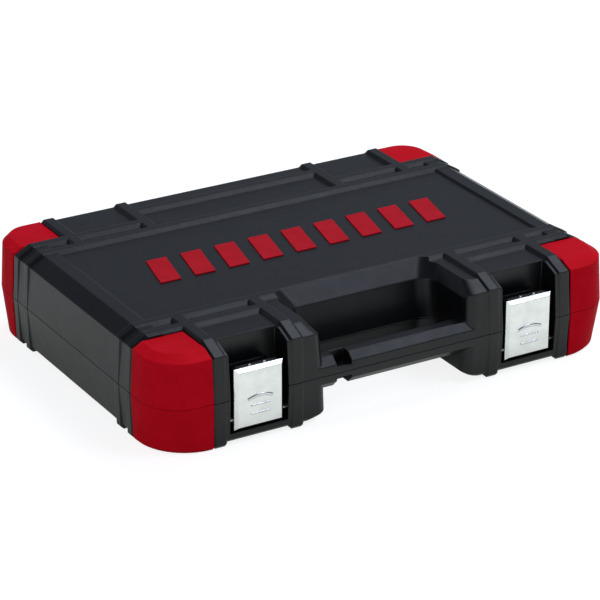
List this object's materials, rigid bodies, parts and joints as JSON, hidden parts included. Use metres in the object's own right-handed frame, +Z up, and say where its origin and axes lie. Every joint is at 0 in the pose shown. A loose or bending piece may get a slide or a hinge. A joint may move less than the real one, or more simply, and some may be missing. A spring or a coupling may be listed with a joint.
{
  "type": "socket wrench set in a carrying case",
  "caption": "Ribbed moulded carrying case with a handle, corner guards and toggle latches, holding a tray of hexagon sockets, a ratchet and extension bars.",
  "frame": {"origin": "under the middle of the case, on the surface it lies on", "axes": "+X to the right seen from the handle side, -Y towards the handle, +Z up through the lid"},
  "size_m": [0.39, 0.2852, 0.0782],
  "materials": {
    "black_polyethylene": "satin moulded",
    "red_polyethylene": "satin moulded",
    "nickel_plated_steel": "bright nickel plate",
    "steel_pin": "turned steel",
    "grey_foam": "open-cell foam",
    "black_tray": "vacuum formed",
    "chrome_vanadium": "polished chrome plate",
    "rubber_grip": "soft moulded",
    "black_lever": "moulded"
  },
  "bodies": {
    "base": {"base_shell": "black_polyethylene", "base_bumper_front_left": "red_polyethylene", "base_bumper_front_right": "red_polyethylene", "base_bumper_back_left": "red_polyethylene", "base_bumper_back_right": "red_polyethylene", "latch_pin_left": "steel_pin", "latch_pin_right": "steel_pin", "hinge_pin_left": "steel_pin", "hinge_pin_right": "steel_pin", "socket_tray": "black_tray", "tool_tray": "black_tray", "bit_tray": "black_tray", "socket_08": "chrome_vanadium", "socket_09": "chrome_vanadium", "socket_10": "chrome_vanadium", "socket_11": "chrome_vanadium", "socket_12": "chrome_vanadium", "socket_13": "chrome_vanadium", "socket_14": "chrome_vanadium", "socket_15": "chrome_vanadium", "socket_16": "chrome_vanadium", "socket_17": "chrome_vanadium", "socket_18": "chrome_vanadium", "socket_19": "chrome_vanadium", "socket_21": "chrome_vanadium", "socket_22": "chrome_vanadium", "socket_24": "chrome_vanadium", "extension_long": "chrome_vanadium", "extension_short": "chrome_vanadium", "ratchet_body": "chrome_vanadium", "ratchet_grip": "rubber_grip", "ratchet_pawl": "steel_pin", "ratchet_cover": "chrome_vanadium", "ratchet_screws": "steel_pin"},
    "lid": {"lid_shell": "black_polyethylene", "lid_bumper_front_left": "red_polyethylene", "lid_bumper_front_right": "red_polyethylene", "lid_bumper_back_left": "red_polyethylene", "lid_bumper_back_right": "red_polyethylene", "lid_stripes": "red_polyethylene", "lid_pad": "grey_foam"},
    "latch_left": {"latch_plate_left": "nickel_plated_steel"},
    "latch_right": {"latch_plate_right": "nickel_plated_steel"},
    "ratchet_drive": {"ratchet_gear": "steel_pin", "drive_ball": "steel_pin"},
    "release_button": {"ratchet_button": "chrome_vanadium"},
    "direction_lever": {"ratchet_lever": "black_lever"}
  },
  "joints": [
    {"name": "lid_hinge", "type": "hinge", "parent": "base", "child": "lid", "pos_m": [0, 0.1383, 0.0366], "axis": [-1, 0, 0], "range_deg": [0, 105]},
    {"name": "latch_left_hinge", "type": "hinge", "parent": "base", "child": "latch_left", "pos_m": [-0.1153, -0.1365, 0.0182], "axis": [1, 0, 0], "range_deg": [0, 100]},
    {"name": "latch_right_hinge", "type": "hinge", "parent": "base", "child": "latch_right", "pos_m": [0.1153, -0.1365, 0.0182], "axis": [1, 0, 0], "range_deg": [0, 100]},
    {"name": "ratchet_spin", "type": "hinge", "parent": "base", "child": "ratchet_drive", "pos_m": [-0.138, 0.008, 0.03], "axis": [0, 0, 1], "continuous": true},
    {"name": "release_press", "type": "slide", "parent": "ratchet_drive", "child": "release_button", "axis": [0, 0, -1], "range_m": [0, 0.0016], "stiffness_N_per_m": 800},
    {"name": "direction_turn", "type": "hinge", "parent": "base", "child": "direction_lever", "pos_m": [-0.1278, 0.008, 0.0405], "axis": [0, 0, 1], "range_deg": [-25, 25]}
  ]
}
